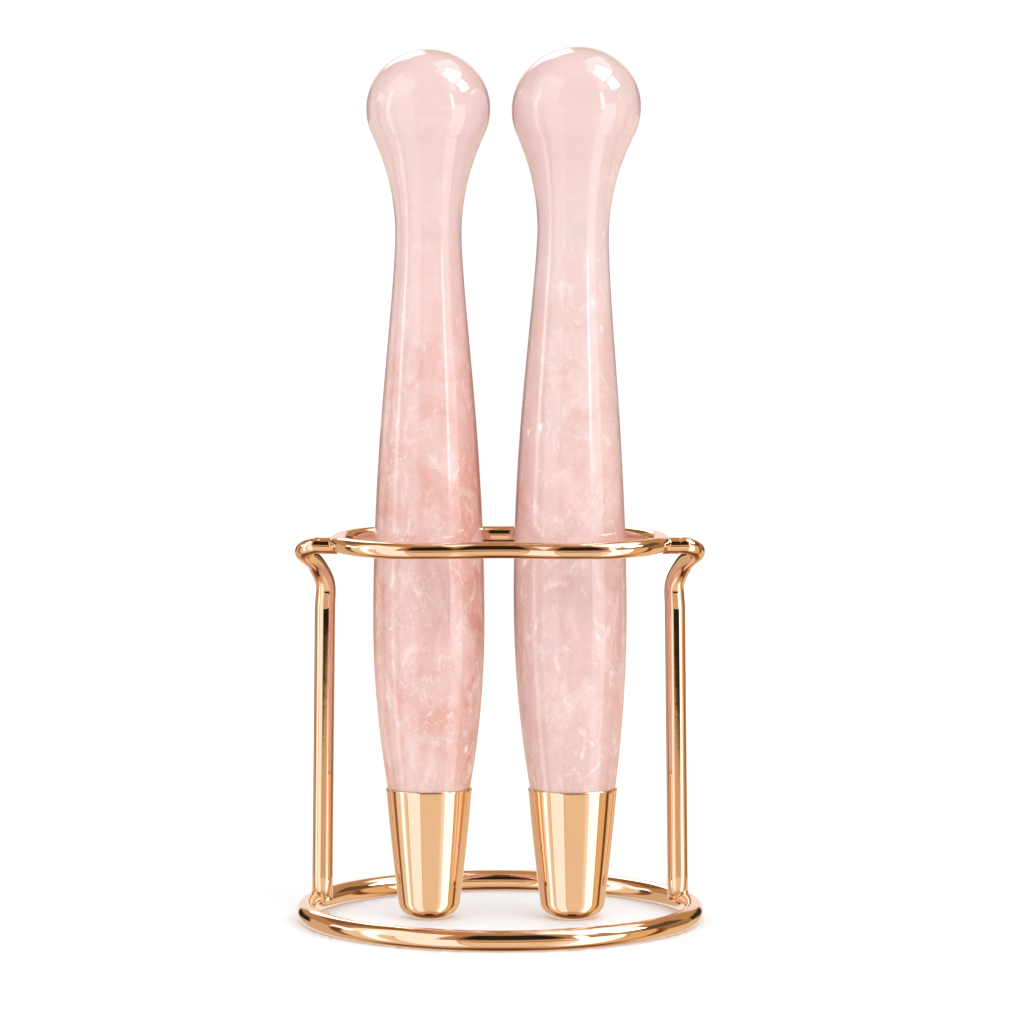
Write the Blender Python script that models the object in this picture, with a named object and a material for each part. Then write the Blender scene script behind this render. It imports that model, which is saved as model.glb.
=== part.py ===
"""A pair of facial massage wands of turned rose quartz, standing in a rose-gold wire stand.

Each wand is one stone with a round head, a slim neck and a long swelling body, bonded into a
metal end cap that it stands on. The stand is a base ring, two bent support wires and an upper
loop with two lobes, one round each wand. The wands lift straight up out of the loop.

Metres, +Z up. The origin is on the table under the middle of the base ring. The front faces -Y.
"""

import math
from typing import NamedTuple

import bmesh
import bpy
from mathutils import Vector

MM = 0.001

# The stand's wires
BASE_WIRE_DIAMETER = 4.0 * MM
POST_WIRE_DIAMETER = 4.0 * MM
STUB_WIRE_DIAMETER = 3.2 * MM  # the support wire is drawn thinner towards the loop
LOOP_WIRE_DIAMETER = 3.2 * MM

# The stand's shape, on the wires' centre lines
BASE_RING_RADIUS = 37.5 * MM
LOOP_HEIGHT = 73.9 * MM
LOOP_FORWARD = 0.9 * MM  # the loop's middle lies a little in front of the ring's
LOBE_SPACING = 28.6 * MM  # between the middles of the two lobes
LOBE_RADIUS = 17.0 * MM
WAIST_WIDTH = 29.4 * MM  # across the loop, front to back, between the lobes
FOOT_ANGLE = math.radians(16.5)  # how far behind the ring's side each support wire stands
FOOT_INSET = 1.2 * MM  # its foot is coped over the ring wire, a little inside the middle
FOOT_REACH = 1.6 * MM  # and reaches this far down the wire's inner side

# The support wire's bends, at its upper end
POST_LEAN = 0.75 * MM  # inwards, from the foot to the end of the straight
POST_TOP_DROP = 8.6 * MM  # below the stub
BEND_RISE = 5.0 * MM  # the last stretch of the straight, which eases into the sweep
SWEEP_OUT = 1.0 * MM  # the sweep between the straight and the hairpin, from the foot
SWEEP_FORWARD = 2.8 * MM
SWEEP_DROP = 4.4 * MM
HAIRPIN_OUT = 3.2 * MM  # the hairpin's outermost point, from the foot
HAIRPIN_DEPTH = 2.4 * MM  # behind the stub
HAIRPIN_DROP = 1.3 * MM
STUB_DROP = 0.7 * MM  # the stub meets the loop a little below its middle
STUB_LENGTH = 3.2 * MM  # its straight, past the gap at the loop

# Fits
GAP = 0.3 * MM  # between two pieces that touch on the real object
LEAN_CLEARANCE = 0.35 * MM  # between a standing wand and the wire behind it
CAP_WALL = 1.2 * MM
CAP_FLOOR = 3.0 * MM
CAP_FILLET = 3.6 * MM  # round the cap's foot
CAP_SWELL = 0.15 * MM  # how far the cap's side bows out
BOND_THICKNESS = 0.4 * MM
BOND_BELOW_RIM = 1.6 * MM
WELD_HEIGHT = 0.9 * MM
WELD_WIDTH = 0.5 * MM

# How finely the round shapes are divided
WIRE_SIDES = 12
RING_STEPS = 48
LOBE_STEPS = 20
WAIST_STEPS = 5
BEND_STEPS = 5
TURNED_STEPS = 24
WELD_STEPS = 16


class Wand(NamedTuple):
    """One wand's own sizes. The stones are shaped by hand, so the two differ a little."""

    name: str
    side: int  # -1 left, +1 right
    shift: float  # along X, from the middle of its lobe
    head_radius: float
    head_height: float  # where the head is widest
    crown: float  # from there to the top
    neck_radius: float
    neck_height: float
    belly_radius: float
    belly_height: float
    rim_radius: float  # of the cap and the stone where they meet
    cap_height: float
    foot_radius: float  # of the cap, where its side would reach the table
    bow: float  # how far the stone's body bends sideways off its axis


WANDS = (
    Wand(
        name="left",
        side=-1,
        shift=0.5 * MM,
        head_radius=12.05 * MM,
        head_height=157.4 * MM,
        crown=11.5 * MM,
        neck_radius=6.45 * MM,
        neck_height=133.3 * MM,
        belly_radius=10.9 * MM,
        belly_height=58.0 * MM,
        rim_radius=8.4 * MM,
        cap_height=25.6 * MM,
        foot_radius=5.6 * MM,
        bow=0.0,
    ),
    Wand(
        name="right",
        side=1,
        shift=-0.2 * MM,
        head_radius=12.55 * MM,
        head_height=157.5 * MM,
        crown=11.9 * MM,
        neck_radius=6.95 * MM,
        neck_height=133.5 * MM,
        belly_radius=11.05 * MM,
        belly_height=61.0 * MM,
        rim_radius=8.7 * MM,
        cap_height=25.6 * MM,
        foot_radius=5.9 * MM,
        bow=0.57 * MM,
    ),
)

BODY_FULLNESS = 0.72  # under 1, the body swells soon below the neck
HEAD_STEPS, NECK_STEPS, BODY_STEPS, TAPER_STEPS = 6, 5, 8, 5
CAP_SIDE_STEPS, CAP_FILLET_STEPS = 4, 4


def finish(name, colour, roughness, metallic):
    """A Principled material in one plain colour."""
    material = bpy.data.materials.new(name)
    material.use_nodes = True
    shader = material.node_tree.nodes["Principled BSDF"]
    shader.inputs["Base Color"].default_value = (*colour, 1.0)
    shader.inputs["Roughness"].default_value = roughness
    shader.inputs["Metallic"].default_value = metallic
    return material


def smooth_edges(mesh):
    mesh.shade_smooth()
    mesh.set_sharp_from_angle(angle=math.radians(40))


def add_object(name, data, material, parent=None, location=(0, 0, 0)):
    obj = bpy.data.objects.new(name, data)
    obj.data.materials.append(material)
    obj.location = location
    obj.parent = parent
    bpy.context.scene.collection.objects.link(obj)
    return obj


def arc(centre, radius, start, end, steps):
    """Points on an arc from one angle to another, both ends included."""
    turns = [start + (end - start) * i / steps for i in range(steps + 1)]
    return [
        (centre[0] + radius * math.cos(t), centre[1] + radius * math.sin(t)) for t in turns
    ]


def turned_mesh(name, outline, steps, axis_offset=lambda height: 0.0):
    """A closed body turned about Z from (radius, height) points that run down its outer side.

    Points at radius 0 close the ends. An outline with none is a ring, closed on itself. Each
    section moves along X by axis_offset of its height.
    """
    shape = bmesh.new()
    sections = []
    for radius, height in outline:
        shift = axis_offset(height)
        if radius < 1e-9:
            sections.append([shape.verts.new((shift, 0, height))])
            continue
        turns = [2 * math.pi * i / steps for i in range(steps)]
        sections.append(
            [
                shape.verts.new((shift + radius * math.cos(t), radius * math.sin(t), height))
                for t in turns
            ]
        )
    pairs = list(zip(sections, sections[1:]))
    if all(len(section) > 1 for section in sections):
        pairs.append((sections[-1], sections[0]))
    for above, below in pairs:
        for i in range(steps):
            j = (i + 1) % steps
            corners = [above[i % len(above)], below[i % len(below)]]
            corners += [below[j % len(below)], above[j % len(above)]]
            shape.faces.new(list(dict.fromkeys(corners)))
    mesh = bpy.data.meshes.new(name)
    shape.to_mesh(mesh)
    shape.free()
    smooth_edges(mesh)
    return mesh


def wire_curve(name, points, diameters, closed=False):
    """A wire of round section along the points, with flats at its full diameter."""
    curve = bpy.data.curves.new(name, "CURVE")
    curve.dimensions = "3D"
    curve.bevel_depth = 0.5 / math.cos(math.pi / WIRE_SIDES)
    curve.bevel_resolution = WIRE_SIDES // 2 - 2
    curve.use_fill_caps = not closed
    spline = curve.splines.new("POLY")
    spline.points.add(len(points) - 1)
    for place, point, diameter in zip(spline.points, points, diameters):
        place.co = (*point, 1)
        place.radius = diameter
    spline.use_cyclic_u = closed
    return curve


def closed_mesh(curve):
    """A wire's surface as one closed mesh, which a Boolean can cut."""
    wire = bpy.data.objects.new(curve.name, curve)
    bpy.context.scene.collection.objects.link(wire)
    graph = bpy.context.evaluated_depsgraph_get()
    mesh = bpy.data.meshes.new_from_object(wire.evaluated_get(graph))
    bpy.data.objects.remove(wire)
    shape = bmesh.new()
    shape.from_mesh(mesh)
    bmesh.ops.remove_doubles(shape, verts=shape.verts, dist=0.001 * MM)
    bmesh.ops.recalc_face_normals(shape, faces=shape.faces)
    shape.to_mesh(mesh)
    shape.free()
    smooth_edges(mesh)
    return mesh


def cope(obj, cutter):
    """Cuts the object away round the cutter."""
    cut = obj.modifiers.new("Cope", "BOOLEAN")
    cut.operation = "DIFFERENCE"
    cut.solver = "EXACT"
    cut.object = cutter


def smooth_through(points, steps):
    """A curve through the points, evened out where they are unevenly spaced."""
    ends = [2 * points[0] - points[1], *points, 2 * points[-1] - points[-2]]
    made = [points[0]]
    for a, b, c, d in zip(ends, ends[1:], ends[2:], ends[3:]):
        t = [0.0]
        for p, q in ((a, b), (b, c), (c, d)):
            t.append(t[-1] + math.sqrt((q - p).length))

        def blend(p, q, start, end, at):
            return p.lerp(q, (at - start) / (end - start))

        for i in range(1, steps + 1):
            at = t[1] + (t[2] - t[1]) * i / steps
            ab = blend(a, b, t[0], t[1], at)
            bc = blend(b, c, t[1], t[2], at)
            cd = blend(c, d, t[2], t[3], at)
            made.append(
                blend(
                    blend(ab, bc, t[0], t[2], at), blend(bc, cd, t[1], t[3], at), t[1], t[2], at
                )
            )
    return made


def loop_outline():
    """The upper loop's centre line: two lobes joined by a shallow waist, as (x, y) points."""
    middle = LOBE_SPACING / 2
    half_waist = WAIST_WIDTH / 2
    # The waist's arcs are centred on the Y axis and touch both lobes.
    waist_radius = (middle**2 + half_waist**2 - LOBE_RADIUS**2) / (2 * (LOBE_RADIUS - half_waist))
    centre = half_waist + waist_radius
    lean = math.atan2(middle, centre)
    right = arc((middle, 0), LOBE_RADIUS, -math.pi / 2 - lean, math.pi / 2 + lean, LOBE_STEPS)
    back = arc((0, centre), waist_radius, lean - math.pi / 2, -lean - math.pi / 2, WAIST_STEPS)
    half = right + back[1:-1]
    return [(x, y - LOOP_FORWARD) for x, y in half + [(-x, -y) for x, y in half]]


def foot_place(side):
    """Where a support wire stands on the base ring, as (x, y)."""
    reach = BASE_RING_RADIUS - FOOT_INSET
    return (side * reach * math.cos(FOOT_ANGLE), reach * math.sin(FOOT_ANGLE))


def loop_end():
    """How far the loop's outer side reaches along X."""
    return LOBE_SPACING / 2 + LOBE_RADIUS + LOOP_WIRE_DIAMETER / 2


def support_wire(name, side):
    """One bent wire: up from the base ring, out and forward in a hairpin, and in to the loop."""
    foot_x, foot_y = foot_place(1)
    stub_height = LOOP_HEIGHT - STUB_DROP
    stub_start = loop_end() + GAP
    foot = Vector((foot_x, foot_y, BASE_WIRE_DIAMETER - FOOT_REACH))
    top = Vector((foot_x - POST_LEAN, foot_y, stub_height - POST_TOP_DROP))
    bends = [
        top - (top - foot).normalized() * BEND_RISE,
        top,
        Vector((foot_x + SWEEP_OUT, foot_y - SWEEP_FORWARD, stub_height - SWEEP_DROP)),
        Vector((foot_x + HAIRPIN_OUT, HAIRPIN_DEPTH - LOOP_FORWARD, stub_height - HAIRPIN_DROP)),
    ]
    bends += [
        Vector((stub_start + STUB_LENGTH * share, -LOOP_FORWARD, stub_height))
        for share in (1, 0.5, 0)
    ]
    points = [foot, *smooth_through(bends, BEND_STEPS)]
    # The wire thins over the bends, and the stub is as thin as the loop's wire all along.
    straight = 2 * BEND_STEPS
    bent = len(points) - 1 - straight
    shrink = POST_WIRE_DIAMETER - STUB_WIRE_DIAMETER
    diameters = [POST_WIRE_DIAMETER]
    diameters += [POST_WIRE_DIAMETER - shrink * i / bent for i in range(1, bent + 1)]
    diameters += [STUB_WIRE_DIAMETER] * straight
    return closed_mesh(wire_curve(name, [(side * p.x, p.y, p.z) for p in points], diameters))


def weld_mesh(name, wire_diameter, skirt):
    """A fillet of weld metal round a wire's end, thin at the top, and its skirt below."""
    inner = wire_diameter / 2 / math.cos(math.pi / WIRE_SIDES) + GAP
    outer = inner + WELD_WIDTH
    slim = inner + WELD_WIDTH / 3
    outline = [(slim, WELD_HEIGHT), (outer, WELD_HEIGHT / 3), (outer, -skirt), (inner, -skirt)]
    outline.append((inner, WELD_HEIGHT))
    return turned_mesh(name, outline, WELD_STEPS)


def ring_outline(diameter):
    """The section of a wire ring on the base ring's centre line, with a flat underneath."""
    corner = diameter / 2 / math.cos(math.pi / WIRE_SIDES)
    half_side = math.pi / WIRE_SIDES
    start = math.pi / 2 + half_side
    section = arc(
        (BASE_RING_RADIUS, BASE_WIRE_DIAMETER / 2), corner, start, start - 2 * math.pi, WIRE_SIDES
    )
    return section[:-1]


def cap_side(wand, height):
    """The cap's outer radius at a height, above its foot's rounding."""
    share = height / wand.cap_height
    straight = wand.foot_radius + (wand.rim_radius - wand.foot_radius) * share
    return straight + 4 * CAP_SWELL * share * (1 - share)


def cap_outline(wand):
    """A cup with a round foot, from the middle of its floor over the rim to the table."""
    slope = (wand.rim_radius - wand.foot_radius + 4 * CAP_SWELL) / wand.cap_height
    lean = math.atan(slope)
    fillet_middle = wand.foot_radius + slope * CAP_FILLET - CAP_FILLET / math.cos(lean)
    foot = arc((fillet_middle, CAP_FILLET), CAP_FILLET, -lean, -math.pi / 2, CAP_FILLET_STEPS)
    top, start = wand.cap_height, foot[0][1]
    heights = [top - (top - start) * i / CAP_SIDE_STEPS for i in range(CAP_SIDE_STEPS)]
    inside = [CAP_FLOOR + (top - CAP_FLOOR) * i / CAP_SIDE_STEPS for i in range(CAP_SIDE_STEPS)]
    outline = [(0, CAP_FLOOR)]
    outline += [(cap_side(wand, h) - CAP_WALL, h) for h in [*inside, top]]
    outline += [(cap_side(wand, h), h) for h in heights]
    return outline + foot + [(0, 0)]


def bond_outline(wand):
    """The layer of adhesive that fills the cup round the stone's tenon."""
    outer = CAP_WALL + GAP
    inner = outer + BOND_THICKNESS
    bottom = CAP_FLOOR + GAP
    top = wand.cap_height - BOND_BELOW_RIM
    floor = bottom + BOND_THICKNESS
    return [
        (0, floor),
        (cap_side(wand, floor) - inner, floor),
        (cap_side(wand, top) - inner, top),
        (cap_side(wand, top) - outer, top),
        (cap_side(wand, bottom) - outer, bottom),
        (0, bottom),
    ]


def stone_outline(wand):
    """The stone from the top of its head to the foot of its tenon."""
    # The head is round below its widest place and slightly flat above it.
    head = [
        (wand.head_radius * r, wand.head_height + wand.crown * h)
        for r, h in arc((0, 0), 1, math.pi / 2, 0, HEAD_STEPS)
    ]
    head[0] = (0, head[0][1])
    # A long hollow arc touches the head and is upright at the neck.
    drop = wand.head_height - wand.neck_height
    hollow = (drop**2 + wand.neck_radius**2 - wand.head_radius**2) / (
        2 * (wand.head_radius - wand.neck_radius)
    )
    lean = math.atan2(drop, wand.neck_radius + hollow)
    below = arc((0, wand.head_height), wand.head_radius, 0, -lean, 2)[1:]
    centre = (wand.neck_radius + hollow, wand.neck_height)
    neck = arc(centre, hollow, math.pi - lean, math.pi, NECK_STEPS)[1:]
    # The body swells from the neck to the belly, then tapers to the rim.
    swell = wand.belly_radius - wand.neck_radius
    body = []
    for i in range(1, BODY_STEPS + 1):
        share = i / BODY_STEPS
        height = wand.neck_height + (wand.belly_height - wand.neck_height) * share
        full = math.sin(math.pi / 2 * share**BODY_FULLNESS) ** 2
        body.append((wand.neck_radius + swell * full, height))
    shoulder = wand.cap_height + GAP
    taper = []
    for i in range(1, TAPER_STEPS + 1):
        share = i / TAPER_STEPS
        height = wand.belly_height + (shoulder - wand.belly_height) * share
        taper.append((wand.belly_radius - (wand.belly_radius - wand.rim_radius) * share**2, height))
    # The tenon goes down into the cup, inside the adhesive.
    inset = CAP_WALL + GAP + BOND_THICKNESS + GAP
    bottom = CAP_FLOOR + GAP + BOND_THICKNESS + GAP
    tenon = [(cap_side(wand, wand.cap_height) - inset, shoulder)]
    tenon += [(cap_side(wand, bottom) - inset, bottom), (0, bottom)]
    return head + below + neck + body + taper + tenon


def stone_bow(wand):
    """How far the stone's axis lies off the cap's, by height: inwards at the body, out at the head."""
    length = wand.neck_height - wand.cap_height

    def offset(height):
        if height <= wand.cap_height + GAP:
            return 0.0
        rise = height - wand.cap_height
        return -wand.side * wand.bow * 4 * rise * (length - rise) / length**2

    return offset


def wand_place(wand):
    """Where a wand stands: in its lobe, just clear of the wire behind it."""
    inner = LOBE_RADIUS - LOOP_WIRE_DIAMETER / 2
    depth = inner - wand.belly_radius - LEAN_CLEARANCE - LOOP_FORWARD
    return (wand.side * LOBE_SPACING / 2 + wand.shift, depth, 0)


def make_stand(gold, weld_metal):
    base = turned_mesh("base_ring", ring_outline(BASE_WIRE_DIAMETER), RING_STEPS)
    add_object("base_ring", base, gold)
    room = turned_mesh("base_ring_room", ring_outline(BASE_WIRE_DIAMETER + 2 * GAP), RING_STEPS)
    base_room = add_object("base_ring_room", room, gold)
    base_room.hide_render = True
    base_room.display_type = "WIRE"
    loop = [(x, y, LOOP_HEIGHT) for x, y in loop_outline()]
    diameters = [LOOP_WIRE_DIAMETER] * len(loop)
    add_object("cradle_loop", wire_curve("cradle_loop", loop, diameters, closed=True), gold)
    for name, side in (("left", -1), ("right", 1)):
        support = support_wire(f"{name}_support_wire", side)
        cope(add_object(f"{name}_support_wire", support, gold), base_room)
        place = (*foot_place(side), BASE_WIRE_DIAMETER)
        collar = weld_mesh(f"{name}_foot_weld", POST_WIRE_DIAMETER, FOOT_REACH)
        cope(add_object(f"{name}_foot_weld", collar, weld_metal, location=place), base_room)
        place = (side * (loop_end() + GAP), -LOOP_FORWARD, LOOP_HEIGHT - STUB_DROP)
        collar = weld_mesh(f"{name}_loop_weld", STUB_WIRE_DIAMETER, 0)
        weld = add_object(f"{name}_loop_weld", collar, weld_metal, location=place)
        weld.rotation_euler = (0, side * math.pi / 2, 0)


def make_wand(wand, stone, gold, adhesive):
    axis = bpy.data.objects.new(f"{wand.name}_wand_axis", None)
    axis.location = wand_place(wand)
    bpy.context.scene.collection.objects.link(axis)
    pieces = (
        ("stone", stone_outline(wand), stone, stone_bow(wand)),
        ("end_cap", cap_outline(wand), gold, lambda height: 0.0),
        ("cap_bond", bond_outline(wand), adhesive, lambda height: 0.0),
    )
    for piece, outline, material, bow in pieces:
        name = f"{wand.name}_{piece}"
        add_object(name, turned_mesh(name, outline, TURNED_STEPS, bow), material, parent=axis)


for old in list(bpy.data.objects):
    bpy.data.objects.remove(old)

rose_gold = finish("polished_rose_gold_plate", (0.86, 0.53, 0.34), 0.06, 1.0)
weld_gold = finish("plated_weld_metal", (0.88, 0.58, 0.40), 0.16, 1.0)
rose_quartz = finish("polished_rose_quartz", (0.84, 0.55, 0.51), 0.08, 0.0)
clear_adhesive = finish("clear_adhesive", (0.80, 0.76, 0.70), 0.35, 0.0)

make_stand(rose_gold, weld_gold)
for each in WANDS:
    make_wand(each, rose_quartz, rose_gold, clear_adhesive)
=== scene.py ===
"""A pair of rose-quartz massage wands in a rose-gold wire stand, in a white studio.

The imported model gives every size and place. The stones, caps and wires here are the same shapes,
made fine enough to hold a clean reflection.
"""

import math

import bmesh
import bpy
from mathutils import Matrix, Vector, noise


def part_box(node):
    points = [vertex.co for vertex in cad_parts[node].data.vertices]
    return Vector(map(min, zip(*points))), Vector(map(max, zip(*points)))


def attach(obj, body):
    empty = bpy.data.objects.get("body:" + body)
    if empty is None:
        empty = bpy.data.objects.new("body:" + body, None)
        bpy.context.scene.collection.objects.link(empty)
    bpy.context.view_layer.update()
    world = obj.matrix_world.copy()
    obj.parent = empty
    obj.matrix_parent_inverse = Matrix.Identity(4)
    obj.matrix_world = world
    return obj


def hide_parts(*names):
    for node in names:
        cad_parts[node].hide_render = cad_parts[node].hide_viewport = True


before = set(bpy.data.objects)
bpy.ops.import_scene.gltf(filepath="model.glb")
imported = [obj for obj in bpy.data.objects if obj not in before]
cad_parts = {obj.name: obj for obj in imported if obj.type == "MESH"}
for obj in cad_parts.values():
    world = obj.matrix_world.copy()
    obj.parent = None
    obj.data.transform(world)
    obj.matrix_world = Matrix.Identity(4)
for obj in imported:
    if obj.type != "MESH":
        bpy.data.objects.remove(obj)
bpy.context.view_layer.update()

MM = 0.001

# The stand's wires, on their centre lines
BASE_WIRE_RADIUS = 2.0 * MM
LOOP_WIRE_RADIUS = 1.6 * MM
LOBE_RADIUS = 17.0 * MM
WAIST_WIDTH = 29.4 * MM
FOOT_ANGLE = math.radians(16.5)
FOOT_INSET = 1.2 * MM
FOOT_REACH = 1.6 * MM
POST_LEAN = 0.75 * MM
POST_TOP_DROP = 8.6 * MM
BEND_RISE = 5.0 * MM
SWEEP_OUT, SWEEP_FORWARD, SWEEP_DROP = 1.0 * MM, 2.8 * MM, 4.4 * MM
HAIRPIN_OUT, HAIRPIN_DEPTH, HAIRPIN_DROP = 3.18 * MM, 2.4 * MM, 1.3 * MM
STUB_DROP = 0.7 * MM
STUB_LENGTH = 3.2 * MM
FOOT_BEAD_RADIUS, LOOP_BEAD_RADIUS = 0.15 * MM, 0.14 * MM
FOOT_BEAD_MARGIN = 0.1 * MM
LOOP_BEAD_RISE = 0.98  # how far up the loop wire's side, as a share of its radius
BEAD_WAVER, BEAD_GRAIN = 0.18, 900  # a share of the bead's radius, and waves per metre

# The wands: shared sizes
CAP_WALL = 1.2 * MM
CAP_FLOOR = 3.0 * MM
CAP_FILLET = 3.6 * MM
CAP_SWELL = 0.15 * MM
RIM_ROUND = 0.22 * MM
STONE_INSET = 0.3 * MM  # the stone is eased a little inside the cap's rim
BORE_TOP_DROP = 1.6 * MM
LIP_INSETS = (0.45 * MM, 0.25 * MM)
LIP_DROP = 0.2 * MM
SHOULDER_DROP, SHOULDER_STEP = 0.6 * MM, 0.25 * MM
TENON_INSET = 2.2 * MM
TENON_RISE = 1.0 * MM
BODY_FULLNESS = 0.72
HAND_WAVER = 0.05 * MM  # how far hand polishing leaves the stone off a true turned shape
WAVER_AROUND, WAVER_ALONG = 60, 45  # waves per metre

# How fine the meshes are: sides round a wire or a body, and steps along a line
RING_STEPS, RING_SIDES = 256, 48
LOBE_STEPS, WAIST_STEPS, LOOP_SIDES = 120, 30, 40
POST_STEPS, BEND_STEPS, TAPER_SPANS, SUPPORT_SIDES = 12, 24, 4, 44
FOOT_BEAD_STEPS, LOOP_BEAD_STEPS, BEAD_SIDES = 96, 72, 14
HALVINGS = 30
TURNED_SIDES = 144
CAP_FILLET_STEPS, CAP_SIDE_STEPS, LIP_STEPS = 24, 40, 6
CROWN_STEPS, STONE_STEPS = 48, 330
BLUR_REACH, BLUR_SPREAD = 12, 4.0
BLUR_TOP_MARGIN = 4 * MM

# Each wand in mm: widest and narrowest radii with their heights, and how far its body bows in
WANDS = {
    "left": dict(
        side=-1, head=12.05, head_height=157.4, crown=11.5, neck=6.45, neck_height=133.3,
        belly=10.9, belly_height=58.0, rim=8.4, foot=5.6, bow=0.0,
    ),
    "right": dict(
        side=1, head=12.55, head_height=157.5, crown=11.9, neck=6.95, neck_height=133.5,
        belly=11.05, belly_height=61.0, rim=8.7, foot=5.9, bow=0.57,
    ),
}


def middle(node):
    low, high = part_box(node)
    return [(a + b) / 2 for a, b in zip(low, high)]


def size(node):
    low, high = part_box(node)
    return [b - a for a, b in zip(low, high)]


RING_RADIUS = size("base_ring")[0] / 2 - BASE_WIRE_RADIUS
LOOP_MIDDLE = middle("cradle_loop")
LOBE_OFFSET = size("cradle_loop")[0] / 2 - LOBE_RADIUS - LOOP_WIRE_RADIUS


# Materials


def linear(hex_colour):
    """An sRGB hex colour as linear red, green, blue and alpha."""
    parts = [int(hex_colour[i : i + 2], 16) / 255 for i in (1, 3, 5)]
    return (*(p / 12.92 if p <= 0.04045 else ((p + 0.055) / 1.055) ** 2.4 for p in parts), 1.0)


def add(tree, kind, links=None, stops=(), **settings):
    """A node with its settings, its inputs set or linked, and a ramp's stops.

    A Map Range's inputs are 0 the value, 1 and 2 the range from and 3 and 4 the range to. A
    mix's are 0 the share and 1 and 2 the two colours.
    """
    node = tree.nodes.new(kind)
    for key, value in settings.items():
        setattr(node, key, value)
    for key, value in (links or {}).items():
        if isinstance(value, bpy.types.Node):
            value = value.outputs[0]
        if isinstance(value, bpy.types.NodeSocket):
            tree.links.new(value, node.inputs[key])
        else:
            node.inputs[key].default_value = value
    for _ in stops[2:]:
        node.color_ramp.elements.new(0.5)
    for i, (at, colour) in enumerate(stops):
        node.color_ramp.elements[i].position = at
        node.color_ramp.elements[i].color = linear(colour)
    return node


def new_material(name):
    material = bpy.data.materials.new(name)
    material.use_nodes = True
    tree = material.node_tree
    return material, tree, tree.nodes["Principled BSDF"]


def polished_rose_gold():
    """Brass wire and cups, polished on a wheel and plated with rose gold: a clean warm mirror.

    Wheel polishing leaves faint fine lines, and handling leaves a very soft unevenness.
    """
    material, tree, shader = new_material("polished_rose_gold_plate")
    where = add(tree, "ShaderNodeTexCoord").outputs["Object"]
    # 11 mm patches of slightly thicker plate
    haze = add(tree, "ShaderNodeTexNoise", {"Vector": where, "Scale": 90.0, "Detail": 3.0})
    tone = add(tree, "ShaderNodeValToRGB", {0: haze}, [(0.3, "#F8D5B8"), (0.7, "#FAD9BE")])
    tree.links.new(tone.outputs[0], shader.inputs["Base Color"])
    gloss = add(tree, "ShaderNodeMapRange", {0: haze, 1: 0.35, 2: 0.75, 3: 0.03, 4: 0.06})
    tree.links.new(gloss.outputs[0], shader.inputs["Roughness"])
    # Polishing marks 2 mm apart and a few microns deep, drawn coarser than the real ones
    marks = add(tree, "ShaderNodeTexNoise", {"Vector": where, "Scale": 420.0, "Detail": 2.0})
    bump = add(tree, "ShaderNodeBump", {"Strength": 0.006, "Distance": 0.0005, "Height": marks})
    tree.links.new(bump.outputs[0], shader.inputs["Normal"])
    shader.inputs["Metallic"].default_value = 1.0
    return material


def plated_braze():
    """Brazing metal under the same plating: softer and a little grainy where it froze."""
    material, tree, shader = new_material("plated_brazing_metal")
    where = add(tree, "ShaderNodeTexCoord").outputs["Object"]
    # Grain of about 0.5 mm
    grain = add(tree, "ShaderNodeTexNoise", {"Vector": where, "Scale": 1800.0, "Detail": 3.0})
    tone = add(tree, "ShaderNodeValToRGB", {0: grain}, [(0.3, "#F3CBA8"), (0.7, "#FCDDC2")])
    tree.links.new(tone.outputs[0], shader.inputs["Base Color"])
    bump = add(tree, "ShaderNodeBump", {"Strength": 0.1, "Distance": 0.0002, "Height": grain})
    tree.links.new(bump.outputs[0], shader.inputs["Normal"])
    shader.inputs["Metallic"].default_value = 1.0
    shader.inputs["Roughness"].default_value = 0.1
    return material


def laid_over(tree, below, share, crowd, colour):
    """A colour laid over what is below, as far as share and crowd both say."""
    share = add(tree, "ShaderNodeMath", {0: share, 1: crowd}, operation="MULTIPLY")
    return add(tree, "ShaderNodeMixRGB", {0: share, 1: below, 2: linear(colour)})


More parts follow.
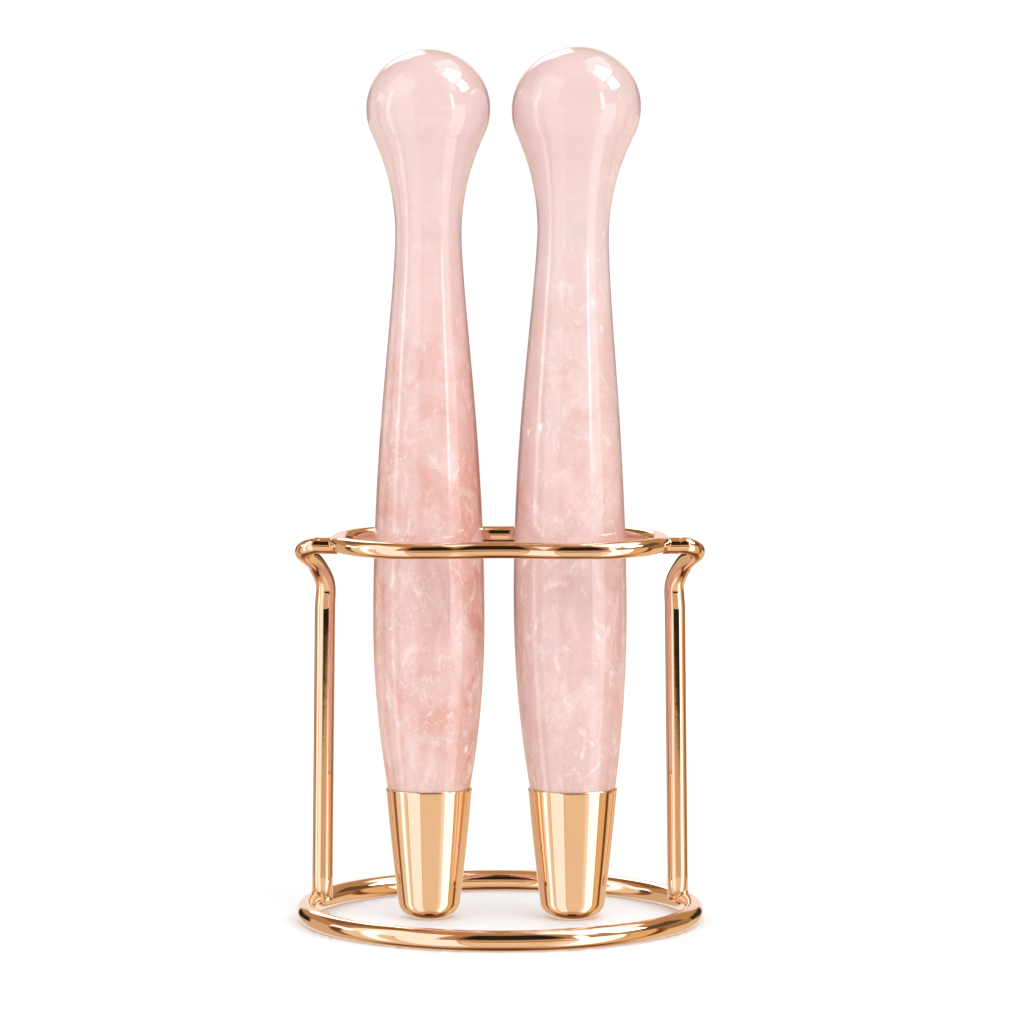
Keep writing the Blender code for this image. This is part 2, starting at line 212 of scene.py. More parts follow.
def polished_rose_quartz(name, seed, axis, tones, flank_shade_and_pocket_tone, flank_shade_and_pocket_strength):
    """Massive rose quartz, turned and polished: milky and translucent, IOR 1.544.

    Pink drifts through it in patches of 18 to 26 mm, broken by paler cotton-like clouds of
    about 8 mm, with white veils, thin healed fractures and bright flecks that crowd its lower
    half. Its flanks carry painted shade: a darker salmon pink where the stone turns from the
    light, the right flank most. The last argument sets how salmon that painted shade is, and how
    strong the deeper pockets are. A wax polish lies over it.
    """
    material, tree, shader = new_material(name)
    where = add(tree, "ShaderNodeTexCoord").outputs["Object"]
    place = add(tree, "ShaderNodeMapping", {"Vector": where, "Location": (seed, seed * 2, 0)})
    axes = add(tree, "ShaderNodeSeparateXYZ", {0: where})
    # From pale at the head to fuller pink in the body
    low = add(
        tree, "ShaderNodeMapRange", {0: axes.outputs[2], 1: 0.150, 2: 0.080, 3: 0.0, 4: 1.0}
    )
    crowd = add(
        tree, "ShaderNodeMapRange", {0: axes.outputs[2], 1: 0.152, 2: 0.085, 3: 0.15, 4: 1.0}
    )
    drift = add(
        tree, "ShaderNodeTexNoise",
        {"Vector": place, "Scale": 38.0, "Detail": 3.0, "Roughness": 0.55, "Distortion": 0.6},
    )
    spread = add(tree, "ShaderNodeMath", {0: drift, 1: 0.75}, operation="MULTIPLY")
    depth = add(tree, "ShaderNodeMath", {0: low, 1: 0.55, 2: spread}, operation="MULTIPLY_ADD")
    body = add(
        tree, "ShaderNodeValToRGB", {0: depth}, list(zip((0.25, 0.55, 0.8, 1.0), tones))
    )
    # Painted shade: the stone's flanks, the right one most, are painted a darker salmon pink
    # where the stone turns from the light, in soft patches of about 18 mm
    side = add(
        tree, "ShaderNodeMapRange",
        {0: axes.outputs[0], 1: axis - 0.011, 2: axis + 0.011, 3: 0.0, 4: 1.0},
    )
    side = add(
        tree, "ShaderNodeValToRGB", {0: side},
        [(0.0, "#A8A8A8"), (0.24, "#000000"), (0.62, "#000000"), (0.95, "#FFFFFF")],
    )
    patches = add(
        tree, "ShaderNodeTexNoise",
        {"Vector": place, "Scale": 55.0, "Detail": 3.0, "Roughness": 0.55, "Distortion": 0.4},
    )
    # The painted flank shade, kept off the head and broken into patches
    flank_shade = add(tree, "ShaderNodeMath", {0: side, 1: low}, operation="MULTIPLY")
    flank_shade = add(tree, "ShaderNodeMath", {0: flank_shade, 1: patches}, operation="MULTIPLY")
    flank_shade = add(
        tree, "ShaderNodeMath", {0: flank_shade, 1: flank_shade_and_pocket_strength}, operation="MULTIPLY", use_clamp=True
    )
    body = add(tree, "ShaderNodeMixRGB", {0: flank_shade, 1: body, 2: linear(flank_shade_and_pocket_tone)})
    # Deeper pockets, about 7 mm across
    pocket = add(
        tree, "ShaderNodeTexNoise",
        {"Vector": where, "Scale": 125.0 + 40.0 * seed, "Detail": 5.0, "Roughness": 0.6,
         "Distortion": 0.9},
    )
    pocket = add(tree, "ShaderNodeMapRange", {0: pocket, 1: 0.48, 2: 0.7, 3: 0.0, 4: 0.3 * flank_shade_and_pocket_strength})
    body = laid_over(tree, body, pocket, crowd, flank_shade_and_pocket_tone)
    # Cotton-like clouds, 8 mm across with ragged edges, drawn out along a slant
    wisp = add(
        tree, "ShaderNodeMapping",
        {"Vector": place, "Scale": (1.0, 1.0, 0.6), "Rotation": (0.3, 0.7, 0.0)},
    )
    cotton = add(
        tree, "ShaderNodeTexNoise",
        {"Vector": wisp, "Scale": 120.0, "Detail": 9.0, "Roughness": 0.7, "Distortion": 0.9},
    )
    cotton = add(tree, "ShaderNodeMapRange", {0: cotton, 1: 0.47, 2: 0.66, 3: 0.0, 4: 0.6})
    body = laid_over(tree, body, cotton, crowd, "#EED4D0")
    # Veils: finer white wisps along the same slant
    veil = add(
        tree, "ShaderNodeTexNoise",
        {"Vector": wisp, "Scale": 210.0, "Detail": 9.0, "Roughness": 0.72, "Distortion": 1.6},
    )
    veil = add(tree, "ShaderNodeMapRange", {0: veil, 1: 0.54, 2: 0.74, 3: 0.0, 4: 0.75})
    veil = add(tree, "ShaderNodeMath", {0: veil, 1: crowd}, operation="MULTIPLY")
    body = add(tree, "ShaderNodeMixRGB", {0: veil, 1: body, 2: linear("#FAEFED")})
    # Healed fractures: bright curved lines about 0.1 mm wide, long ones and small curls
    for scale, bend, width, mask_scale, start, strength in (
        (110.0, 2.4, 0.006, 120.0, 0.56, 0.22), (320.0, 3.2, 0.018, 130.0, 0.49, 0.4),
    ):
        line = add(
            tree, "ShaderNodeTexNoise",
            {"Vector": wisp, "Scale": scale, "Detail": 1.5, "Distortion": bend},
        )
        line = add(tree, "ShaderNodeMath", {0: line, 1: 0.5}, operation="SUBTRACT")
        line = add(tree, "ShaderNodeMath", {0: line}, operation="ABSOLUTE")
        line = add(tree, "ShaderNodeMapRange", {0: line, 1: 0.0, 2: width, 3: strength, 4: 0.0})
        keep = add(
            tree, "ShaderNodeTexNoise", {"Vector": place, "Scale": mask_scale, "Detail": 1.0}
        )
        keep = add(
            tree, "ShaderNodeMapRange", {0: keep, 1: start, 2: start + 0.08, 3: 0.0, 4: 1.0}
        )
        line = add(tree, "ShaderNodeMath", {0: line, 1: keep}, operation="MULTIPLY")
        body = laid_over(tree, body, line, crowd, "#FFFAF8")
    # Bright flecks under 1 mm across, 5 mm apart
    fleck = add(tree, "ShaderNodeTexVoronoi", {"Vector": wisp, "Scale": 210.0})
    fleck = add(tree, "ShaderNodeMapRange", {0: fleck, 1: 0.04, 2: 0.13, 3: 0.8, 4: 0.0})
    fleck = add(tree, "ShaderNodeMath", {0: fleck, 1: keep}, operation="MULTIPLY")
    body = laid_over(tree, body, fleck, crowd, "#FFFAF8")
    tree.links.new(body.outputs[0], shader.inputs["Base Color"])
    gloss = add(tree, "ShaderNodeMapRange", {0: veil, 1: 0.0, 2: 1.0, 3: 0.045, 4: 0.09})
    tree.links.new(gloss.outputs[0], shader.inputs["Roughness"])
    shader.inputs["IOR"].default_value = 1.544
    shader.inputs["Coat Weight"].default_value = 0.7
    shader.inputs["Coat Roughness"].default_value = 0.03
    shader.inputs["Subsurface Weight"].default_value = 0.35
    shader.inputs["Subsurface Radius"].default_value = (1.0, 0.7, 0.65)
    shader.inputs["Subsurface Scale"].default_value = 2.5 * MM
    return material


def clear_adhesive():
    """Two-part epoxy in the cup round the tenon: glassy, faintly yellow, with small bubbles."""
    material, tree, shader = new_material("cured_clear_epoxy")
    where = add(tree, "ShaderNodeTexCoord").outputs["Object"]
    # Bubbles 0.7 mm apart
    bubbles = add(tree, "ShaderNodeTexVoronoi", {"Vector": where, "Scale": 1400.0})
    tone = add(tree, "ShaderNodeValToRGB", {0: bubbles}, [(0.1, "#F4EBDD"), (0.4, "#E6DAC6")])
    tree.links.new(tone.outputs[0], shader.inputs["Base Color"])
    shader.inputs["Roughness"].default_value = 0.2
    shader.inputs["IOR"].default_value = 1.55
    return material


# Making meshes


def add_piece(name, shape, material, node, body):
    """A finished bmesh as an object that stands for a CAD node."""
    mesh = bpy.data.meshes.new(name)
    bmesh.ops.recalc_face_normals(shape, faces=shape.faces)
    shape.to_mesh(mesh)
    shape.free()
    mesh.shade_smooth()
    mesh.materials.append(material)
    piece = bpy.data.objects.new(name, mesh)
    bpy.context.scene.collection.objects.link(piece)
    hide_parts(node)
    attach(piece, body)
    return piece


def skin(shape, rings, closed=False):
    """Joins rings of the same number of points with faces, and caps the two ends."""
    made = [[shape.verts.new(p) for p in ring] for ring in rings]
    pairs = list(zip(made, made[1:])) + ([(made[-1], made[0])] if closed else [])
    count = len(made[0])
    for first, second in pairs:
        for i in range(count):
            j = (i + 1) % count
            shape.faces.new((first[i], first[j], second[j], second[i]))
    if not closed:
        shape.faces.new(made[0])
        shape.faces.new(made[-1])


def swept(centres, radii, sides, closed=False):
    """A round wire along the centres, carried along without twist."""
    count = len(centres)
    shape = bmesh.new()
    rings = []
    across = None
    for i, centre in enumerate(centres):
        ahead = centres[(i + 1) % count] if closed or i + 1 < count else centre
        behind = centres[i - 1] if closed or i else centre
        along = (ahead - behind).normalized()
        if across is None:
            across = along.orthogonal().normalized()
        across = (across - along * across.dot(along)).normalized()
        up = along.cross(across)
        rings.append(
            [
                centre + radii[i] * (across * math.cos(t) + up * math.sin(t))
                for t in (2 * math.pi * k / sides for k in range(sides))
            ]
        )
    # A flat closed wire comes back to the frame it started with
    skin(shape, rings, closed)
    return shape


def turned(outline, place, bow=None, waver=0.0, seed=0.0):
    """A body turned about an upright axis from (radius, height) points, top to bottom."""
    steps = TURNED_SIDES
    shape = bmesh.new()
    rows = []
    for radius, height in outline:
        shift = bow(height) if bow else 0.0
        if radius < 1e-9:
            rows.append([shape.verts.new((place[0] + shift, place[1], height))])
            continue
        row = []
        for i in range(steps):
            t = 2 * math.pi * i / steps
            around = [part * radius * WAVER_AROUND for part in (math.cos(t), math.sin(t))]
            spot = Vector((*around, height * WAVER_ALONG + seed))
            r = radius - waver * (0.5 + 0.5 * noise.noise(spot))
            row.append(
                shape.verts.new(
                    (place[0] + shift + r * math.cos(t), place[1] + r * math.sin(t), height)
                )
            )
        rows.append(row)
    for above, below in zip(rows, rows[1:]):
        for i in range(steps):
            j = (i + 1) % steps
            corners = [above[i % len(above)], below[i % len(below)]]
            corners += [below[j % len(below)], above[j % len(above)]]
            shape.faces.new(list(dict.fromkeys(corners)))
    return shape


def arc(centre, radius, start, end, steps):
    """Points along an arc between two angles, with both ends."""
    turns = [start + (end - start) * i / steps for i in range(steps + 1)]
    return [(centre[0] + radius * math.cos(t), centre[1] + radius * math.sin(t)) for t in turns]


def smooth_through(points, steps):
    """A curve through the points, evened out where they are unevenly spaced."""
    ends = [2 * points[0] - points[1], *points, 2 * points[-1] - points[-2]]
    made = [points[0]]
    for a, b, c, d in zip(ends, ends[1:], ends[2:], ends[3:]):
        t = [0.0]
        for p, q in ((a, b), (b, c), (c, d)):
            t.append(t[-1] + math.sqrt((q - p).length))
        for i in range(1, steps + 1):
            at = t[1] + (t[2] - t[1]) * i / steps
            ab = a.lerp(b, (at - t[0]) / (t[1] - t[0]))
            bc = b.lerp(c, (at - t[1]) / (t[2] - t[1]))
            cd = c.lerp(d, (at - t[2]) / (t[3] - t[2]))
            abc = ab.lerp(bc, (at - t[0]) / (t[2] - t[0]))
            bcd = bc.lerp(cd, (at - t[1]) / (t[3] - t[1]))
            made.append(abc.lerp(bcd, (at - t[1]) / (t[2] - t[1])))
    return made


# The stand


def loop_line():
    """The upper loop's centre line: two lobes joined by a shallow waist."""
    half_waist = WAIST_WIDTH / 2
    waist_radius = (LOBE_OFFSET**2 + half_waist**2 - LOBE_RADIUS**2) / (
        2 * (LOBE_RADIUS - half_waist)
    )
    centre = half_waist + waist_radius
    lean = math.atan2(LOBE_OFFSET, centre)
    right = arc((LOBE_OFFSET, 0), LOBE_RADIUS, -math.pi / 2 - lean, math.pi / 2 + lean, LOBE_STEPS)
    back = arc((0, centre), waist_radius, lean - math.pi / 2, -lean - math.pi / 2, WAIST_STEPS)
    half = right + back[1:-1]
    x, y, z = LOOP_MIDDLE
    return [Vector((x + a, y + b, z)) for a, b in half + [(-a, -b) for a, b in half]]


def foot_place(side):
    """Where a post stands on the base ring."""
    reach = RING_RADIUS - FOOT_INSET
    return side * reach * math.cos(FOOT_ANGLE), reach * math.sin(FOOT_ANGLE)


def support_line(side):
    """A support wire's centre line: post, sweep, hairpin and stub."""
    x, y = foot_place(1)
    depth = LOOP_MIDDLE[1]
    stub_height = LOOP_MIDDLE[2] - STUB_DROP
    loop_end = LOBE_OFFSET + LOBE_RADIUS + LOOP_WIRE_RADIUS
    foot = Vector((x, y, 2 * BASE_WIRE_RADIUS - FOOT_REACH))
    top = Vector((x - POST_LEAN, y, stub_height - POST_TOP_DROP))
    bends = [
        top - (top - foot).normalized() * BEND_RISE,
        top,
        Vector((x + SWEEP_OUT, y - SWEEP_FORWARD, stub_height - SWEEP_DROP)),
        Vector((x + HAIRPIN_OUT, HAIRPIN_DEPTH + depth, stub_height - HAIRPIN_DROP)),
        Vector((loop_end + STUB_LENGTH, depth, stub_height)),
        Vector((loop_end + STUB_LENGTH / 2, depth, stub_height)),
        Vector((loop_end - LOOP_WIRE_RADIUS, depth, stub_height)),
    ]
    straight = [foot.lerp(bends[0], i / POST_STEPS) for i in range(POST_STEPS)]
    line = straight + smooth_through(bends, BEND_STEPS)
    # The wire thins from the post's size to the loop's over the first spans of the bends
    bend_start, bend_end = POST_STEPS, POST_STEPS + BEND_STEPS * TAPER_SPANS
    radii = []
    for i in range(len(line)):
        share = min(max((i - bend_start) / (bend_end - bend_start), 0), 1)
        radii.append(BASE_WIRE_RADIUS + (LOOP_WIRE_RADIUS - BASE_WIRE_RADIUS) * share)
    return [Vector((side * p.x, p.y, p.z)) for p in line], radii


def ring_distance(x, y, z):
    """How far a point is outside the base ring's wire."""
    return math.hypot(math.hypot(x, y) - RING_RADIUS, z - BASE_WIRE_RADIUS) - BASE_WIRE_RADIUS


def foot_bead_line(side):
    """Where the post's side meets the ring wire, and its own lower edge beyond that."""
    x, y = foot_place(side)
    bottom = 2 * BASE_WIRE_RADIUS - FOOT_REACH
    line = []
    for i in range(FOOT_BEAD_STEPS):
        t = 2 * math.pi * i / FOOT_BEAD_STEPS
        px, py = x + BASE_WIRE_RADIUS * math.cos(t), y + BASE_WIRE_RADIUS * math.sin(t)
        low, high = bottom, 2 * BASE_WIRE_RADIUS + FOOT_BEAD_MARGIN
        if ring_distance(px, py, low) > 0:
            line.append(Vector((px, py, low)))
            continue
        for _ in range(HALVINGS):
            half = (low + high) / 2
            if ring_distance(px, py, half) > 0:
                high = half
            else:
                low = half
        line.append(Vector((px, py, low)))
    return line


def stub_bead_line(side):
    """Where the stub meets the loop's wire."""
    _, depth, height = LOOP_MIDDLE
    stub_height = height - STUB_DROP
    line = []
    for i in range(LOOP_BEAD_STEPS):
        t = 2 * math.pi * i / LOOP_BEAD_STEPS
        y = depth + LOOP_WIRE_RADIUS * math.cos(t)
        z = stub_height + LOOP_WIRE_RADIUS * math.sin(t)
        rise = min(abs(z - height), LOOP_WIRE_RADIUS * LOOP_BEAD_RISE)
        reach = LOBE_RADIUS + math.sqrt(LOOP_WIRE_RADIUS**2 - rise**2)
        off = y - depth
        line.append(Vector((side * (LOBE_OFFSET + math.sqrt(reach**2 - off**2)), y, z)))
    return line


def bead(line, thickness, seed):
    """A brazed bead along a closed line, uneven where it froze."""
    radii = []
    for p in line:
        spot = Vector((p.x * BEAD_GRAIN, p.y * BEAD_GRAIN, p.z * BEAD_GRAIN + seed))
        radii.append(thickness * (1 + BEAD_WAVER * noise.noise(spot)))
    return swept(line, radii, BEAD_SIDES, closed=True)


def make_stand(gold, braze):
    ring = [
        Vector((RING_RADIUS * math.cos(t), RING_RADIUS * math.sin(t), BASE_WIRE_RADIUS))
        for t in (2 * math.pi * i / RING_STEPS for i in range(RING_STEPS))
    ]
    base = add_piece(
        "base_ring_wire", swept(ring, [BASE_WIRE_RADIUS] * RING_STEPS, RING_SIDES, True),
        gold, "base_ring", "stand",
    )
    base.visible_glossy = False
    loop = loop_line()
    add_piece(
        "upper_loop_wire", swept(loop, [LOOP_WIRE_RADIUS] * len(loop), LOOP_SIDES, True),
        gold, "cradle_loop", "stand",
    )
    for name, side in (("left", -1), ("right", 1)):
        add_piece(
            f"{name}_bent_support", swept(*support_line(side), SUPPORT_SIDES), gold,
            f"{name}_support_wire", "stand",
        )
        add_piece(
            f"{name}_foot_bead", bead(foot_bead_line(side), FOOT_BEAD_RADIUS, side), braze,
            f"{name}_foot_weld", "stand",
        )
        add_piece(
            f"{name}_loop_bead", bead(stub_bead_line(side), LOOP_BEAD_RADIUS, side * 2), braze,
            f"{name}_loop_weld", "stand",
        )


# The wands


def cap_side(wand, height, top):
    """The cup's outside radius at a height, with a slight swell half way up."""
    share = height / top
    straight = wand["foot"] + (wand["rim"] - wand["foot"]) * share
    return straight * MM + 4 * CAP_SWELL * share * (1 - share)


def cap_outline(wand, top):
    """A cup with an eased rim and a round foot."""
    slope = ((wand["rim"] - wand["foot"]) * MM + 4 * CAP_SWELL) / top
    lean = math.atan(slope)
    fillet = wand["foot"] * MM + slope * CAP_FILLET - CAP_FILLET / math.cos(lean)
    foot = arc((fillet, CAP_FILLET), CAP_FILLET, -lean, -math.pi / 2, CAP_FILLET_STEPS)
    start = foot[0][1]
    rim = cap_side(wand, top, top)
    inside = [(cap_side(wand, h, top) - CAP_WALL, h) for h in (CAP_FLOOR, top - BORE_TOP_DROP)]
    lip = [
        (rim - STONE_INSET - LIP_INSETS[0], top - LIP_DROP),
        (rim - STONE_INSET - LIP_INSETS[1], top),
        *arc((rim - RIM_ROUND, top - RIM_ROUND), RIM_ROUND, math.pi / 2, 0, LIP_STEPS),
    ]
    heights = [
        top - RIM_ROUND - (top - RIM_ROUND - start) * i / CAP_SIDE_STEPS
        for i in range(1, CAP_SIDE_STEPS)
    ]
    side = [(cap_side(wand, h, top), h) for h in heights]
    return [(0, CAP_FLOOR), *inside, *lip, *side, *foot, (0, 0)]


def evened(profile, start, end):
    """Smooths the radii of a profile with close, even heights between two heights."""
    reach = BLUR_REACH
    weights = [math.exp(-((k / BLUR_SPREAD) ** 2) / 2) for k in range(-reach, reach + 1)]
    made = []
    for i, (radius, height) in enumerate(profile):
        if start < height < end and reach <= i < len(profile) - reach:
            near = profile[i - reach : i + reach + 1]
            radius = sum(w * r for w, (r, _) in zip(weights, near)) / sum(weights)
        made.append((radius, height))
    return made


def stone_radius(wand, height, cap_top):
    """The turned stone's radius at a height below the head's widest place."""
    head, neck, belly, rim = (wand[k] * MM for k in ("head", "neck", "belly", "rim"))
    head_height, neck_height = wand["head_height"] * MM, wand["neck_height"] * MM
    belly_height = wand["belly_height"] * MM
    drop = head_height - neck_height
    hollow = (drop**2 + neck**2 - head**2) / (2 * (head - neck))
    touch = head_height - head * drop / math.hypot(drop, neck + hollow)
    if height > touch:
        return math.sqrt(max(head**2 - (head_height - height) ** 2, 0))
    if height > neck_height:
        return neck + hollow - math.sqrt(hollow**2 - (height - neck_height) ** 2)
    if height > belly_height:
        share = (neck_height - height) / (neck_height - belly_height)
        full = math.sin(math.pi / 2 * share**BODY_FULLNESS) ** 2
        return neck + (belly - neck) * full
    share = (belly_height - height) / (belly_height - cap_top)
    return belly - (belly - rim + STONE_INSET) * share**2


def stone_outline(wand, cap_top):
    """The stone's half-section from the crown down, with the tenon that goes into the cup."""
    head, head_height = wand["head"] * MM, wand["head_height"] * MM
    crown = [
        (head * r, head_height + wand["crown"] * MM * h)
        for r, h in arc((0, 0), 1, math.pi / 2, 0, CROWN_STEPS)
    ]
    crown[0] = (0, crown[0][1])
    heights = [
        head_height - (head_height - cap_top) * i / STONE_STEPS for i in range(1, STONE_STEPS + 1)
    ]
    side = [(stone_radius(wand, h, cap_top), h) for h in heights]
    side = evened(side, wand["belly_height"] * MM, head_height - BLUR_TOP_MARGIN)
    inside = cap_top - SHOULDER_DROP
    tenon = [
        (side[-1][0] - SHOULDER_STEP, inside),
        (cap_side(wand, cap_top, cap_top) - TENON_INSET, inside),
        (cap_side(wand, CAP_FLOOR, cap_top) - TENON_INSET, CAP_FLOOR + TENON_RISE),
        (0, CAP_FLOOR + TENON_RISE),
    ]
    return crown + side + tenon


def stone_bow(wand, cap_top):
    """How far the stone's axis bows towards the other wand at a height."""
    length = wand["neck_height"] * MM - cap_top

    def offset(height):
        if height <= cap_top:
            return 0.0
        rise = height - cap_top
        return -wand["side"] * wand["bow"] * MM * 4 * rise * (length - rise) / length**2

    return offset


def make_wand(name, stone, gold):
    wand = WANDS[name]
    place = middle(f"{name}_end_cap")
    cap_top = size(f"{name}_end_cap")[2]
    body = f"{name}_wand"
    add_piece(
        f"{name}_cap_cup", turned(cap_outline(wand, cap_top), place), gold,
        f"{name}_end_cap", body,
    )
    add_piece(
        f"{name}_quartz_body",
        turned(
            stone_outline(wand, cap_top), place, bow=stone_bow(wand, cap_top), waver=HAND_WAVER,
            seed=wand["side"],
        ),
        stone, f"{name}_stone", body,
    )


gold = polished_rose_gold()
make_stand(gold, plated_braze())
WARM_TONES = ("#E0C6C3", "#DEC1BF", "#DDB9B3", "#DCB4AD")
PALE_TONES = ("#DFC1BF", "#DEC6C4", "#DEBFBB", "#DDBBB6")
# Each stone's last two values: the salmon pink of its painted flank shade and of its deeper
# pockets, and how strong they are
warm_stone = polished_rose_quartz(
    "rose_quartz_warm", 0.31, middle("left_stone")[0], WARM_TONES, "#D79481", 1.8
)
pale_stone = polished_rose_quartz(
    "rose_quartz_pale", 0.74, middle("right_stone")[0], PALE_TONES, "#D4A59B", 1.7
)
make_wand("left", warm_stone, gold)
make_wand("right", pale_stone, gold)
glue = clear_adhesive()
for name in ("left", "right"):
    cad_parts[f"{name}_cap_bond"].data.materials.clear()
    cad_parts[f"{name}_cap_bond"].data.materials.append(glue)


# The studio


FLOOR_SIZE = 30
BEHIND_CARDS = "#C79A6B"  # what reflections see where there is no card
FRONT_LIGHT, BACK_LIGHT = 1.31, 0.92
PAST_WRAP = 200  # degrees
SOFTBOX_AIM = (0, 0, 0.08)
LENS, SENSOR_WIDTH = 241.84, 36.0  # mm
CAMERA_PLACE = (0.00233, -1.3225, 0.21275)
CAMERA_TILT = 0.10029  # radians below level


def make_floor():
    """A white acrylic table top, matt with a faint gloss."""
    shape = bmesh.new()
    bmesh.ops.create_grid(shape, x_segments=1, y_segments=1, size=FLOOR_SIZE)
    mesh = bpy.data.meshes.new("studio_floor")
    shape.to_mesh(mesh)
    shape.free()
    material, tree, _ = new_material("white_acrylic_table")
    matt = add(tree, "ShaderNodeBsdfDiffuse", {"Color": (0.955, 0.98, 1.0, 1)})
    gloss = add(tree, "ShaderNodeBsdfGlossy", {"Color": (1, 1, 1, 1), "Roughness": 0.11})
    both = add(tree, "ShaderNodeMixShader", {0: 0.12, 1: matt.outputs[0], 2: gloss.outputs[0]})
    tree.links.new(both.outputs[0], tree.nodes["Material Output"].inputs[0])
    mesh.materials.append(material)
    floor = bpy.data.objects.new("studio_floor", mesh)
    bpy.context.scene.collection.objects.link(floor)
    floor.visible_glossy = False


# Each card: azimuth from and to, elevation from and to, brightness, colour and how soft its edges
# are, in degrees. Azimuth is from the front, positive to the right. Later cards stand in front.
CARDS = {
    "tan_wall_left": (-180, -113, -90, 8, 1.0, "#D9BE9F", 2),
    "flag_left": (-112, -103, -32, 8, 1.0, "#83603F", 2),
    "card_left_edge": (-102, -62, -90, 8, 1.0, "#F2DFC4", 3),
    "card_left": (-61, -24, -90, 8, 1.2, "#FFFFFF", 1),
    "room_low": (-23, 44, -90, -11, 1.0, "#F0DBBC", 2),
    "room": (-23, 44, -11, 8, 1.0, "#D9BC93", 2),
    "card_right_fade": (36, 60, -90, 8, 1.05, "#FFF6EA", 7),
    "card_right": (48, 75, -90, 8, 1.8, "#FFFFFF", 2),
    "wall_right_near": (78, 99, -90, 8, 1.0, "#E9C48F", 2),
    "flag_right": (100, 110, -32, 8, 1.0, "#7A4B26", 2),
    "wall_right": (112, 154, -90, 8, 1.0, "#E8D0A8", 2),
    "under_front": (-180, 180, -90, -60, 0.9, "#DDB388", 9),
    "under_left": (-180, -100, -90, -52, 0.7, "#9C6A42", 8),
    "under_right": (100, 180, -90, -52, 0.7, "#9C6A42", 8),
    "contact_shade": (-180, 180, -90, -79, 0.07, "#9C6A42", 5),
    "high_wall": (-180, 180, 8, 90, 0.8, "#CFA273", 2),
    "backdrop_left": (-180, -160, -36, 20, 0.97, "#FFF2EC", 3),
    "backdrop_right": (160, 180, -36, 20, 0.97, "#FFF2EC", 3),
    "back_light": (-176, -154, 20, 46, 2.6, "#FFFFFF", 3),
    "flag_back_left": (-151, -115, 28, 67, 0.6, "#A6835F", 3),
    "flag_low_left": (-160, -135, -8, 8, 0.03, "#FFE6CC", 2),
    "flag_low_right": (136, 162, -6, 10, 0.04, "#FFE6CC", 3),
    "card_high_left": (-98, -36, 8, 58, 1.2, "#FFFFFF", 3),
    "bright_edge_left": (-112, -92, 5, 19, 1.7, "#FFFFFF", 2),
    "dark_room": (-24, 38, 16, 68, 0.02, "#FFE6CC", 5),
    "dark_doorway": (-16, 50, -7.45, -2.5, 0.02, "#FFD9B3", 0.35),
    "window_sill": (50, 66, 33, 46, 1.3, "#FFFFFF", 2),
    "flag_high_right": (90, 130, 11, 33, 0.12, "#FFD9B3", 3),
    "window_wide": (56, 156, 45, 78, 1.5, "#FFFFFF", 2),
    "window_upper": (66, 116, 47, 68, 9.0, "#FFFFFF", 1),
    "window_lower": (74, 100, 28, 44, 9.0, "#FFFFFF", 1),
    "flag_left_near": (-110, -100, -11, 8, 0.12, "#FFD9B3", 2),
    "flag_right_near": (105, 136, -11, 8, 0.35, "#FFC48A", 3),
    "strip_left": (-83, -74, -40, 30, 2.0, "#FFFFFF", 4),
    "strip_right": (46, 50, -40, 8, 2.0, "#FFFFFF", 1.5),
    "strip_right_too": (55, 57, -40, 8, 2.0, "#FFFFFF", 1),
    "strip_upper_left": (-82, -75, 1, 30, 3.2, "#FFFFFF", 3),
    "strip_upper_right": (45, 51, 1, 30, 5.0, "#FFFFFF", 2),
}


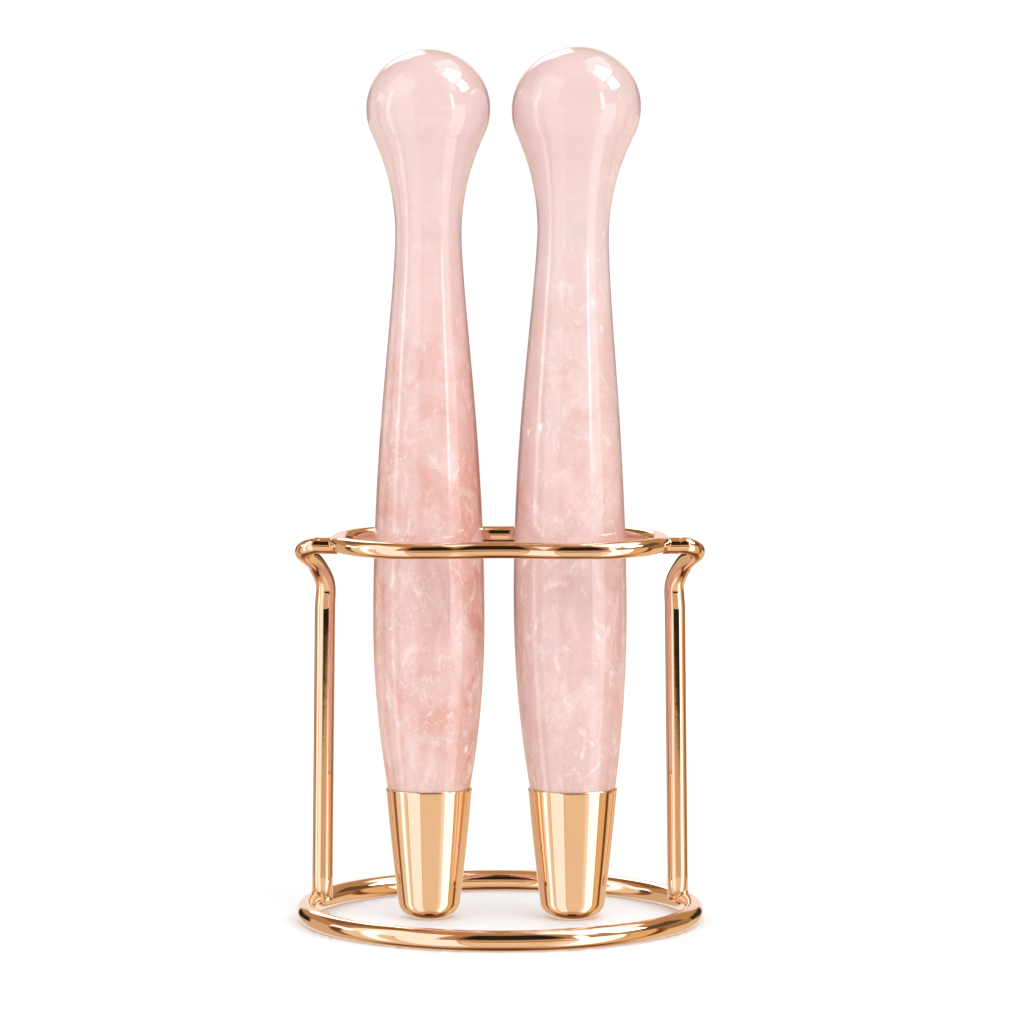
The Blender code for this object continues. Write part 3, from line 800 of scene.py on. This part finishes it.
def make_world():
    """A white tent with cards and flags, seen only in reflections, and even light all round."""
    world = bpy.data.worlds.new("white_tent")
    bpy.context.scene.world = world
    world.use_nodes = True
    tree = world.node_tree
    tree.nodes.clear()
    where = add(tree, "ShaderNodeTexCoord").outputs["Generated"]
    parts = add(tree, "ShaderNodeSeparateXYZ", {0: where}).outputs
    forward = add(tree, "ShaderNodeMath", {0: parts[1], 1: -1.0}, operation="MULTIPLY")
    azimuth = add(tree, "ShaderNodeMath", {0: parts[0], 1: forward}, operation="ARCTAN2")
    elevation = add(tree, "ShaderNodeMath", {0: parts[2]}, operation="ARCSINE")

    def between(value, low, high, soft):
        """1 between two angles in degrees and 0 outside them, with soft edges."""
        # A card that ends where the azimuth wraps round goes on past it
        low = -PAST_WRAP if low == -180 else low
        high = PAST_WRAP if high == 180 else high
        edges = []
        for edge, before, after in ((low, 0.0, 1.0), (high, 1.0, 0.0)):
            start, end = math.radians(edge - soft), math.radians(edge + soft)
            edges.append(
                add(
                    tree, "ShaderNodeMapRange",
                    {0: value, 1: start, 2: end, 3: before, 4: after},
                    interpolation_type="SMOOTHSTEP",
                )
            )
        return add(tree, "ShaderNodeMath", {0: edges[0], 1: edges[1]}, operation="MULTIPLY")

    shade = linear(BEHIND_CARDS)
    for az0, az1, el0, el1, bright, colour, soft in CARDS.values():
        across, up = between(azimuth, az0, az1, soft), between(elevation, el0, el1, soft)
        mask = add(tree, "ShaderNodeMath", {0: across, 1: up}, operation="MULTIPLY")
        glow = [bright * c for c in linear(colour)[:3]] + [1]
        shade = add(tree, "ShaderNodeMixRGB", {0: mask, 1: shade, 2: glow})
    light_path = add(tree, "ShaderNodeLightPath")
    reflected = add(tree, "ShaderNodeBackground", {0: shade, 1: 1.0})
    # Brighter from the front than from behind
    front = add(
        tree, "ShaderNodeMapRange", {0: parts[1], 1: -1, 2: 1, 3: FRONT_LIGHT, 4: BACK_LIGHT}
    )
    even = add(tree, "ShaderNodeBackground", {0: (1, 1, 1, 1), 1: front})
    white = add(tree, "ShaderNodeBackground", {0: (1, 1, 1, 1), 1: 1.0})
    lit = add(
        tree, "ShaderNodeMixShader",
        {0: light_path.outputs["Is Glossy Ray"], 1: even.outputs[0], 2: reflected.outputs[0]},
    )
    seen = add(
        tree, "ShaderNodeMixShader",
        {0: light_path.outputs["Is Camera Ray"], 1: lit.outputs[0], 2: white.outputs[0]},
    )
    output = add(tree, "ShaderNodeOutputWorld")
    tree.links.new(seen.outputs[0], output.inputs[0])


def add_softbox(name, place, width, watts):
    """A square soft box aimed at the wands, not seen in reflections."""
    light = bpy.data.lights.new(name, "AREA")
    light.shape = "SQUARE"
    light.size = width
    light.energy = watts
    lamp = bpy.data.objects.new(name, light)
    lamp.location = place
    lamp.rotation_euler = (Vector(SOFTBOX_AIM) - Vector(place)).to_track_quat("-Z", "Y").to_euler()
    lamp.visible_glossy = False
    bpy.context.scene.collection.objects.link(lamp)


def make_camera():
    data = bpy.data.cameras.new("camera")
    data.lens = LENS
    data.sensor_width = SENSOR_WIDTH
    camera = bpy.data.objects.new("camera", data)
    camera.location = CAMERA_PLACE
    camera.rotation_euler = (math.pi / 2 - CAMERA_TILT, 0, 0)
    bpy.context.scene.collection.objects.link(camera)
    bpy.context.scene.camera = camera


make_floor()
make_world()
add_softbox("key_softbox", (0.55, -0.55, 0.75), width=0.5, watts=1.6)
add_softbox("fill_softbox", (-0.6, -0.5, 0.4), width=0.6, watts=0.4)
make_camera()

bpy.context.scene.view_settings.view_transform = "Standard"
